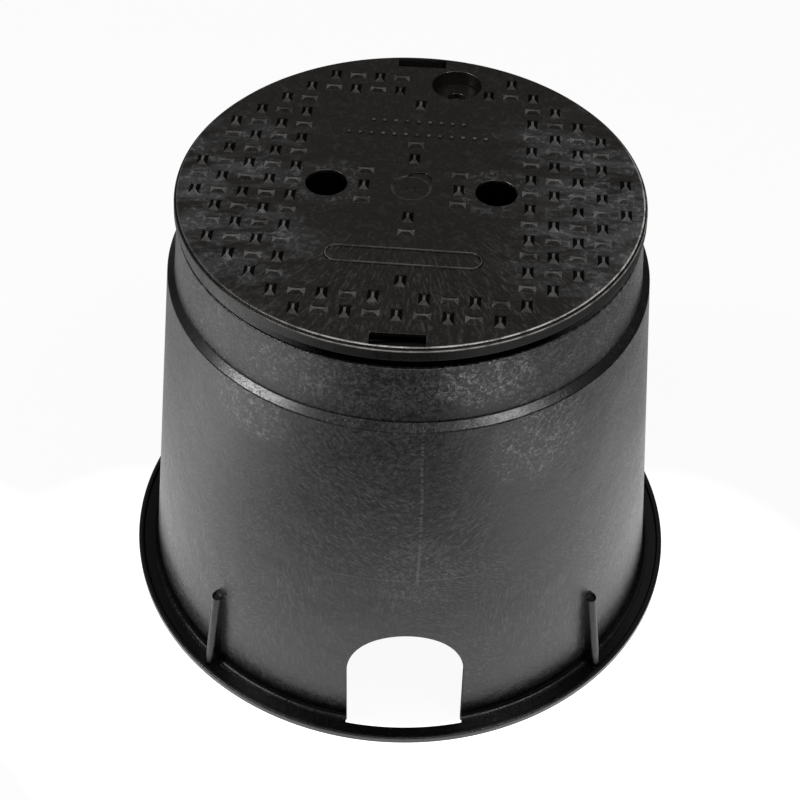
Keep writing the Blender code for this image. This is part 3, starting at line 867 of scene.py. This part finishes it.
def panel_line(form, tread):
    """Raised line round the blank panel."""
    outline = stadium(tread.panel_length, tread.panel_depth, -tread.panel_place)
    top, foot = form.face + tread.mark_height, form.face - EMBED
    ease = tread.panel_line / 4.0
    section = ((0.0, foot), (0.0, top - ease), (-ease, top), (ease - tread.panel_line, top),
               (-tread.panel_line, top - ease), (-tread.panel_line, foot))
    return loft("panel_line", [outline(spread, z) for spread, z in section], tied=True)


def stud_row(form, tread, y, count, material):
    """A row of plain round studs."""
    top, foot = form.face + tread.mark_height, form.face - EMBED
    ease = tread.stud_radius / 3.0
    radius = tread.stud_radius
    section = ((radius, foot), (radius, top - ease), (radius - ease / 3.0, top - ease / 3.0),
               (radius - ease, top))
    stud = turned("stud", section, tied=False, segments=STUD_SEGMENTS)
    tree = Growth(f"stud_row_{count}", stud, material)
    pitch = tree.size("Pitch", tread.stud_pitch)
    amount = tree.count("Count", count)
    start = tree.join(pitch * (1.0 - amount) / 2.0, tree.size("Row", y), 0.0)
    step = tree.join(pitch, 0.0, 0.0)
    line = tree.node("GeometryNodeMeshLine",
                     {"Count": amount, "Start Location": start, "Offset": step})
    return tree.grow(tree.copies(line, 0.0))


def under_plate(form, cover, material):
    """Radial ribs and a ring that stiffen the plate, and the cup for the bolt's head."""
    low = form.plate - cover.rib_depth
    high = form.plate + EMBED
    start, end = cover.rib_start, form.neck_inner - cover.rib_margin
    bar = rounded_box(end - start, cover.rib_wall, EMBED, ((start + end) / 2.0, 0.0))
    rib = loft("under_rib", [bar(0.0, low), bar(0.0, high)])
    half = cover.rib_wall / 2.0
    ring = [(cover.ring_radius - half, low + EMBED), (cover.ring_radius + half, low + EMBED),
            (cover.ring_radius + half, high), (cover.ring_radius - half, high)]
    cup = round_outline(form.cup_radius, form.bolt)
    rings = [cup(-EMBED, form.cup), cup(0.0, form.cup + EMBED), cup(0.0, high)]
    return [ring_of("under_ribs", rib, cover.rib_count, material),
            turned("under_ring", ring, segments=SEGMENTS // 2), loft("bolt_cup", rings)]


def cover_cutters(form, cover):
    """Finger holes, slots, counterbore, bolt hole and the marks at the gate, as cutters."""
    face, plate, edge = form.face, form.plate, cover.edge
    cuts = []
    shallow = EMBED / 2.0
    for side in (-1.0, 1.0):
        hole = round_outline(cover.hole_radius, (side * cover.hole_spacing / 2.0, 0.0))
        cuts.append(hole_cutter("finger_hole", hole, face, plate, edge))
        slot = rounded_box(cover.slot_length, cover.slot_width, edge,
                           (0.0, side * form.slot_middle))
        cutter = hole_cutter("slot", slot, face, plate, shallow)
        cuts.append(turn_piece(cutter, cover.slot_turn))
    floor, well, mark = (face - depth
                         for depth in (cover.bore_depth, cover.well_depth, cover.mark_depth))
    middle, beside = (0.0, 0.0), cover.mark_place[:2]
    for name, radius, centre, top, bottom, ease, through in (
            ("counterbore", cover.bore_radius, form.bolt, face, floor, edge, False),
            ("bolt_hole", cover.bolt_radius, form.bolt, floor, form.cup, EMBED, True),
            ("gate_well", cover.well_radius, middle, face, well, shallow, False),
            ("insert_mark", cover.mark_radius, beside, face, mark, shallow, False)):
        cuts.append(hole_cutter(name, round_outline(radius, centre), top, bottom, ease, through))
    return cuts


def gate_nub(form, cover):
    radius, top = cover.nub_radius, form.face
    foot = top - cover.mark_depth - EMBED
    section = ((radius, foot), (radius, top - EMBED), (radius - EMBED / 2.0, top - EMBED / 4.0),
               (radius - EMBED, top))
    return turned("gate_nub", section, tied=False, segments=SMALL_SEGMENTS)


def make_cover(form, cover, tread, material):
    piece = turned("valve_box_cover", cover_profile(form, cover), tied=False)
    combine(piece, "UNION", under_plate(form, cover, material))
    combine(piece, "DIFFERENCE", cover_cutters(form, cover))
    raised = [gate_nub(form, cover), tread_field(form, cover, tread, material),
              panel_line(form, tread)]
    raised += [stud_row(form, tread, y, count, material) for y, count in STUD_ROWS]
    combine(piece, "UNION", raised)
    return turn_piece(piece, cover.turn)


# Plastics

# Marks: a noise's scale, detail, roughness and distortion, and where it turns from 0 to 1
BODY_FLOW = (1.0, 1.5, 0.50, 0.9, 0.46, 0.70)
OTHER_FLOW = (17.0, 1.0, 0.50, 0.0, 0.50, 0.62)
CRINKLE = (330.0, 3.0, 0.65, 1.4, 0.46, 0.68)
CLOUD = (12.0, 3.0, 0.60, 0.0, 0.34, 0.68)
MOTTLE = (480.0, 3.0, 0.70, 0.0, 0.40, 0.66)
WELD_DOTS = (520.0, 0.0, 0.50, 0.0, 0.42, 0.60)
RAYS = (1.0, 2.0, 0.60, 0.3, 0.50, 0.72)
BANDS = (1.0, 4.0, 0.65, 0.8, 0.38, 0.66)
SWIRL = (230.0, 3.0, 0.60, 1.2, 0.48, 0.70)
UNEVEN = (130.0, 3.0, 0.60, 0.0, 0.30, 0.62)
GRAIN = (900.0, 2.0, 0.60, 0.0, 0.40, 0.70)
# Flow marks on the body: tilt in degrees, length and width
FLOWS = ((34.0, 0.0046, 0.0011), (84.0, 0.0052, 0.0012), (-38.0, 0.0036, 0.0011))
# Pale patches on the body, partly scuffs and partly painted sheen: middle and reach along the wall
# and up, and strength
PATCHES = (((0.041, 0.238), (0.034, 0.020), 1.00),
           ((0.070, 0.196), (0.036, 0.032), 0.75),
           ((-0.074, 0.236), (0.036, 0.020), 0.50),
           ((-0.094, 0.203), (0.032, 0.022), 0.80),
           ((0.004, 0.118), (0.028, 0.032), 0.30),
           ((0.160, 0.232), (0.060, 0.040), 0.30))
# Radius at which places along the wall are measured
WALL_RADIUS = 0.14
# Place of the weld line along the wall, and height of the parting line
WELD_PLACE = 0.0054
PARTING_HEIGHT = 0.1150
# Depth of the fine relief of each plastic
BODY_RELIEF = 0.00006
COVER_RELIEF = 0.00005


def new_material(name):
    """An empty material, its tree and its object coordinates."""
    material = bpy.data.materials.new(name)
    material.use_nodes = True
    material.node_tree.nodes.clear()
    tree = Tree(material.node_tree)
    return material, tree, tree.node("ShaderNodeTexCoord", output="Object")


def noise(tree, vector, scale, detail=2.0, roughness=0.5, distortion=0.0):
    return tree.node("ShaderNodeTexNoise",
                     {"Vector": vector, "Scale": scale, "Detail": detail, "Roughness": roughness,
                      "Distortion": distortion})


def marks(tree, vector, kind):
    """1 on the marks of a kind, 0 between them."""
    *texture, low, high = kind
    return noise(tree, vector, *texture).ramp(low, high)


def patch(across, up, middle, reach):
    """1 in the middle of an oval patch, falling to 0 at its edge."""
    a, b = (across - middle[0]) / reach[0], (up - middle[1]) / reach[1]
    return (a * a + b * b).ramp(1.0, 0.1)


def plastic(material, tree, shade_colour, rough, height, relief, painted_shade):
    """Satin plastic with a fine relief, mixed towards a dull black as painted shade in holes, gaps
    and other dark places.
    """
    bump = tree.node("ShaderNodeBump",
                     {"Strength": 1.0, "Distance": relief, "Height": height}, "Normal")
    satin = tree.node("ShaderNodeBsdfPrincipled",
                      {"Base Color": shade_colour, "Roughness": rough, "IOR": 1.50,
                       "Normal": bump}, "BSDF")
    black = (*box_settings().look.shadowed, 1.0)
    painted_black = tree.node("ShaderNodeBsdfDiffuse", {"Color": black}, "BSDF")
    tree.end(tree.mix_shaders(painted_shade, satin, painted_black))
    return material


def body_plastic(look, form):
    """Structural foam: feathered flow marks that run away from the weld line at the front, with
    pale patches that are partly painted sheen, and painted shade in dark places.
    """
    material, tree, place_on = new_material("body_plastic")
    x, y, z = tree.split(place_on)
    radius = distance(x, y)
    around_wall = x.maths("ARCTAN2", x, -y) * WALL_RADIUS
    away = abs(around_wall)
    drift = noise(tree, place_on, scale=26.0) - 0.5
    # Where the upper part, the shoulder's ledge, and the ribs, flange and lowest part of the wall
    # are
    upper = z.ramp(form.shoulder_foot - 0.012, form.shoulder_top)
    ledge = z.between(form.shoulder_foot - 0.0008, form.shoulder_foot,
                      form.shoulder_top, form.shoulder_top + 0.0012)
    proud = (radius - form.lower_wall(z)).ramp(0.0005, 0.0015).highest(z.ramp(0.020, 0.003))

    # Flow marks in three directions, crinkled at the top, and what lies over them
    flows = []
    for tilt, length, width in FLOWS:
        cosine, sine = math.cos(math.radians(tilt)), math.sin(math.radians(tilt))
        along = away * cosine + z * sine
        across = z * cosine - away * sine + drift * 0.012
        vector = tree.join(along / length, across / width, x / length)
        flows.append(marks(tree, vector, BODY_FLOW))
    low_part = z.ramp(0.135, 0.095)
    flow = flows[0].give_way(flows[1], low_part)
    flow = flow.give_way(flows[2], marks(tree, place_on, OTHER_FLOW))
    crinkle = marks(tree, place_on, CRINKLE)
    plain = 1.0 - ledge * away.ramp(0.030, 0.060) * 0.85
    flow = flow.give_way(crinkle, upper * 0.9) * plain
    mottle = marks(tree, place_on, MOTTLE) * plain
    cloud = marks(tree, place_on, CLOUD)
    patches = 0.0
    for middle, reach, strength in PATCHES:
        patches = (patch(around_wall, z, middle, reach) * strength).highest(patches)
    dots = marks(tree, tree.join(0.0, 0.0, z), WELD_DOTS).highest(z.ramp(0.150, 0.125))
    weld = 1.0 - abs(around_wall - WELD_PLACE + drift * 0.004).ramp(0.0002, 0.0011)
    weld = weld * z.between(0.108, 0.114, 0.200, 0.222) * dots
    parting = z.close_to(PARTING_HEIGHT, 0.0007) * away.ramp(0.055, 0.035)

    # Colour, roughness and relief
    strength = flow * (0.25 + 0.60 * cloud + 0.20 * upper) + mottle * 0.22
    strength = (strength + weld * 1.2 + parting * 0.3).lowest(1.0)
    shade_colour = tree.mix(strength, look.body_dark, look.body_pale)
    # Pale patches, partly scuffs and partly painted sheen, weaker on the shoulder's ledge
    scuffs_and_sheen = patches * (0.08 + 0.92 * crinkle) * (0.30 + 0.70 * mottle)
    scuffs_and_sheen = scuffs_and_sheen * (1.0 - ledge * 0.7) * 0.65
    shade_colour = tree.mix(scuffs_and_sheen, shade_colour, look.body_rubbed)
    # Darker on the flange, the ribs and the lowest part of the wall
    shade_colour = tree.mix(proud, shade_colour, look.body_foot)
    rough = look.body_roughness + 0.09 * mottle - 0.03 * flow + 0.05 * cloud
    wave = noise(tree, place_on, 42.0, 3.0, 0.55) * (1.0 - ledge)
    height = flow * (0.6 + upper * 0.5) + mottle * 0.4 + patches * crinkle
    height = height + weld + parting * 0.8 + wave * 10.0

    # Painted shade: the inside of the wall, the flange, the ribs' caps and the front of the ledge
    # are mixed towards a dull black
    inside = (form.lower_wall(z) - 0.0025 - radius).ramp(0.0, 0.0005) * z.ramp(0.200, 0.199)
    rim = form.flange_radius - 0.0012
    flat = z.ramp(0.013, 0.007) * radius.ramp(rim, rim - 0.0008) * (1.0 - x.ramp(0.10, 0.14))
    cap_shade = proud * z.ramp(form.rib_cap - 0.0022, form.rib_cap - 0.0012)
    ledge_shade = ledge * away.ramp(0.055, 0.020)
    painted_shade = (inside * 0.60).highest(flat * 0.50).highest(cap_shade * 0.55).highest(ledge_shade * 0.45)
    return plastic(material, tree, shade_colour, rough, height, BODY_RELIEF, painted_shade)


def cover_plastic(look, form):
    """Solid plastic whose flow marks run out from the gate, strongest at the front, with painted
    sheen at the sides, painted highlights on the bars and the rim, and painted shade on the bars'
    sides, in holes and in gaps.
    """
    cover = box_settings().cover
    material, tree, place_on = new_material("cover_plastic")
    x, y, z = tree.split(place_on)
    radius = distance(x, y)
    right, forward = x / radius.highest(0.001), -y / radius.highest(0.001)
    drift = noise(tree, place_on, scale=30.0) - 0.5
    swirl, uneven, grain = (marks(tree, place_on, kind) for kind in (SWIRL, UNEVEN, GRAIN))

    # Rays from the gate, flow bands at both sides that also paint the sheen there, and pale rings
    # round the holes and the gate
    spread = tree.join(right * 75.0 + drift * 7.0, drift * 7.0 - forward * 75.0, radius * 150.0)
    rays = marks(tree, spread, RAYS)
    front = forward.ramp(0.15, 0.85) * radius.ramp(0.040, 0.065)
    bands = marks(tree, tree.join(x * 22.0, y * 70.0, drift * 2.0), BANDS)
    # Painted sheen at both sides, stronger to the right and weaker towards the back
    side_sheen = abs(right).ramp(0.45, 0.95) * radius.ramp(0.050, 0.085)
    side_sheen = side_sheen * (1.0 - y.ramp(0.015, 0.070) * 0.8) * (1.0 + 0.3 * x.ramp(0.0, 0.08))
    strength = rays * (0.06 + 0.24 * front) + bands * side_sheen * (0.36 + 0.80 * swirl) + swirl * 0.10
    hole_x, hole_y = around(cover.hole_spacing / 2.0, math.pi / 2.0 - cover.turn)
    for side in (-1.0, 1.0):
        from_hole = distance(x - side * hole_x, y - side * hole_y)
        strength = strength + from_hole.close_to(0.0150, 0.0090) * (0.05 + 0.35 * swirl)
    strength = strength + radius.close_to(cover.well_radius, 0.0009) * uneven * 0.5
    on_face = z.ramp(form.face - 0.0012, form.face - 0.0006)
    strength = (strength * on_face + grain * 0.03).lowest(1.0)
    shade_colour = tree.mix(strength, look.cover_dark, look.cover_pale)

    # Painted highlights on the tread's bars and on the rim's edges, stronger where they face front
    # and right
    across, along, upward = tree.split(tree.other(place_on, "Normal"))
    on_bar = z.ramp(form.face + 0.0001, form.face + 0.0002)
    steep = (-along).ramp(0.41, 0.44)
    flank_shade = abs(across).ramp(0.41, 0.44).highest(steep * 0.50) * on_bar
    crest = upward.ramp(0.955, 0.985) * z.ramp(form.face + 0.0003, form.face + 0.0006)
    near_end_highlight = (-along).ramp(0.25, 0.36) * (1.0 - steep) * 0.40
    raised = crest * 0.95 + (abs(across).ramp(0.25, 0.36) + near_end_highlight) * on_bar
    raised = raised.lowest(1.0) * (0.02 + 0.11 * uneven)
    shade_colour = tree.mix(raised, shade_colour, look.cover_worn)
    # Painted highlights along the face's edge and the rim's step
    step = form.face - cover.rim_drop - 0.0002
    rim_highlight = radius.close_to(form.face_radius - 0.0002, 0.0009) * z.close_to(form.face, 0.0006)
    rim_highlight = rim_highlight + (radius.close_to(form.skirt_top_radius, 0.0008)
                   * z.close_to(step, 0.0008) * 0.55)
    facing = (right * 0.62 + forward * 0.78).ramp(0.15, 0.75)
    rim_highlight = rim_highlight * (0.06 + 0.94 * facing) * (0.25 + 0.75 * uneven)
    shade_colour = tree.mix(rim_highlight, shade_colour, look.cover_worn)
    rough = look.cover_roughness + 0.12 * grain - 0.05 * rays + 0.10 * bands
    wave = noise(tree, place_on, 60.0, 3.0)
    height = rays * front * 0.8 + swirl * 0.4 + grain * 0.15 + wave * 3.0

    # Painted shade: the bars' sides, the holes, the rim's step and the rebate are mixed towards a
    # dull black
    from_bolt = distance(x - form.turned_bolt[0], y - form.turned_bolt[1])
    off_bore = from_bolt.ramp(cover.bore_radius + 0.0003, cover.bore_radius + 0.0007)
    rim = radius.ramp(form.skirt_inner - 0.0012, form.skirt_inner - 0.0007)
    in_hole = z.ramp(form.plate - 0.0002, form.plate) * off_bore * (1.0 - rim)
    low = z.ramp(form.face - 0.0014, form.face - 0.0022)
    low = low * in_hole.highest(rim * (0.5 - 0.45 * (-x).ramp(0.04, 0.09)))
    lit_side = (-x).ramp(0.040, 0.085) * 0.85 + x.ramp(0.060, 0.100) * 0.40
    rebate_top = form.skirt + cover.rebate_height
    rebate_shade = z.ramp(rebate_top + 0.0003, rebate_top - 0.0003) * rim * (1.0 - lit_side)
    painted_shade = low.highest(rebate_shade).highest(flank_shade * 0.97)
    return plastic(material, tree, shade_colour, rough, height, COVER_RELIEF, painted_shade)


# Studio

WHITE = (1.0, 1.0, 1.0, 1.0)
# Lamps: direction from the box, distance, width, height and radiance
LAMPS = {"left_panel": ((-0.656, -0.103, 0.747), 1.61, 0.42, 0.32, 30.0),
         "right_panel": ((0.435, -0.300, 0.845), 1.61, 0.40, 0.26, 27.0),
         "front_panel": ((0.0, -0.66, 0.75), 2.0, 1.4, 0.7, 2.6)}
# Half the floor's side, the camera's sensor in millimetres and the end of its view
FLOOR_REACH = 6.0
SENSOR_WIDTH = 36.0
FAR_CLIP = 50.0


def ray_kinds(tree):
    """1 for camera rays, and 1 for mirror-like rays."""
    camera = tree.node("ShaderNodeLightPath", output="Is Camera Ray")
    return camera, tree.other(camera, "Is Glossy Ray")


def floor_material(studio):
    """Pale floor, white to the camera, with low cards round the box that its wall mirrors."""
    material, tree, place_on = new_material("pale_floor")
    camera, glossy = ray_kinds(tree)
    x, y, _ = tree.split(place_on)
    radius = distance(x, y)
    outside = radius.ramp(studio.box_radius * 0.94, studio.box_radius)
    near = 1.0 - radius.ramp(0.17, 0.45)
    left = (-x).ramp(0.22, 0.36)
    right = (x.ramp(0.08, 0.25) * 1.25 - x.ramp(0.27, 0.37) * 0.9) * radius.ramp(0.25, 0.36)
    behind = y.ramp(-0.10, 0.15)
    card = (0.04 + near * 1.5 + left * 1.45 + right) * (1.0 - behind * 0.55) * outside
    pale = (studio.floor, studio.floor, studio.floor, 1.0)
    matt = tree.node("ShaderNodeBsdfDiffuse", {"Color": pale}, "BSDF")
    white = tree.node("ShaderNodeEmission",
                      {"Color": WHITE, "Strength": camera.highest(card)}, "Emission")
    tree.end(tree.mix_shaders((camera * 0.94).highest(glossy), matt, white))
    return material


def studio_world():
    """White to the camera, and for light and mirroring a sky that is brightest in front."""
    world = bpy.data.worlds.new("studio")
    world.use_nodes = True
    world.node_tree.nodes.clear()
    tree = Tree(world.node_tree)
    camera, _ = ray_kinds(tree)
    x, y, z = tree.split(tree.node("ShaderNodeTexCoord", output="Generated"))
    sky = 0.015 + z.ramp(0.30, 0.60) * (0.03 + y.ramp(-0.34, -0.10) * 0.15)
    sky = sky * (1.0 - abs(x).ramp(0.38, 0.60) * 0.85)
    back = tree.node("ShaderNodeBackground",
                     {"Color": WHITE, "Strength": camera.highest(sky)}, "Background")
    tree.end(back, "ShaderNodeOutputWorld")
    bpy.context.scene.world = world


def add_lamp(name, direction, far, width, height, radiance):
    """Soft panel that faces the middle of the box from a direction."""
    aim = Vector((0.0, 0.0, BODY_TOP * 0.8))
    lamp = bpy.data.lights.new(name, "AREA")
    lamp.shape = "RECTANGLE"
    lamp.size, lamp.size_y = width, height
    lamp.energy = radiance * math.pi * width * height
    holder = new_object(name, lamp)
    holder.location = aim + Vector(direction).normalized() * far
    holder.rotation_euler = (aim - holder.location).to_track_quat("-Z", "Y").to_euler()


def add_camera(studio):
    lens = bpy.data.cameras.new("camera")
    lens.sensor_width = SENSOR_WIDTH
    lens.lens = studio.lens
    lens.clip_end = FAR_CLIP
    camera = new_object("camera", lens)
    camera.location = studio.camera_place
    camera.rotation_euler = studio.camera_turn
    bpy.context.scene.camera = camera


def make_stage(studio):
    """Floor, surroundings, lamps and camera."""
    work = bmesh.new()
    work.faces.new([work.verts.new((a * FLOOR_REACH, b * FLOOR_REACH, BODY_FOOT))
                    for a, b in CORNERS])
    floor = from_bmesh("floor", work)
    floor.data.materials.append(floor_material(studio))
    studio_world()
    for name, values in LAMPS.items():
        add_lamp(name, *values)
    add_camera(studio)
    bpy.context.scene.view_settings.view_transform = "Standard"


# Add-on classes


class ValveBoxSettings(bpy.types.PropertyGroup):
    """Everything that a user may change."""
    body: PointerProperty(type=BodySizes)
    cover: PointerProperty(type=CoverSizes)
    tread: PointerProperty(type=TreadSizes)
    look: PointerProperty(type=PlasticLook)
    studio: PointerProperty(type=StudioLook)


class VALVEBOX_OT_body(bpy.types.Operator):
    """Make the tapered body with its neck, shoulder, flange, ribs and pipe openings"""
    bl_idname = "valvebox.body"
    bl_label = "Make Body"

    def execute(self, context):
        settings = context.scene.valve_box
        form = Form(settings.body, settings.cover)
        material = body_plastic(settings.look, form)
        piece = make_body(form, settings.body, settings.cover, material)
        finish_piece(piece, "box_body", "box", material)
        return {"FINISHED"}


class VALVEBOX_OT_cover(bpy.types.Operator):
    """Make the cover with its holes, tread and stiffening ribs"""
    bl_idname = "valvebox.cover"
    bl_label = "Make Cover"

    def execute(self, context):
        settings = context.scene.valve_box
        form = Form(settings.body, settings.cover)
        material = cover_plastic(settings.look, form)
        piece = make_cover(form, settings.cover, settings.tread, material)
        finish_piece(piece, "cover", "lid", material)
        return {"FINISHED"}


class VALVEBOX_OT_stage(bpy.types.Operator):
    """Make the floor, the soft lamps, the surroundings and the camera"""
    bl_idname = "valvebox.stage"
    bl_label = "Make Stage"

    def execute(self, context):
        make_stage(context.scene.valve_box.studio)
        return {"FINISHED"}


class VALVEBOX_PT_panel(bpy.types.Panel):
    """Buttons and values of the valve box"""
    bl_label = "Valve Box"
    bl_space_type = "VIEW_3D"
    bl_region_type = "UI"
    bl_category = "Valve Box"

    def draw(self, context):
        settings = context.scene.valve_box
        for operator in OPERATORS:
            self.layout.operator(operator.bl_idname)
        for name in ("body", "cover", "tread", "look", "studio"):
            box = self.layout.box()
            box.label(text=name.capitalize())
            group = getattr(settings, name)
            for value in group.__annotations__:
                box.prop(group, value)


OPERATORS = (VALVEBOX_OT_body, VALVEBOX_OT_cover, VALVEBOX_OT_stage)
CLASSES = (BodySizes, CoverSizes, TreadSizes, PlasticLook, StudioLook, ValveBoxSettings,
           *OPERATORS, VALVEBOX_PT_panel)


def register():
    for each in CLASSES:
        bpy.utils.register_class(each)
    bpy.types.Scene.valve_box = PointerProperty(type=ValveBoxSettings)


def unregister():
    del bpy.types.Scene.valve_box
    for each in reversed(CLASSES):
        bpy.utils.unregister_class(each)


def main():
    register()
    bpy.ops.valvebox.body()
    bpy.ops.valvebox.cover()
    bpy.ops.valvebox.stage()


if __name__ == "__main__":
    main()
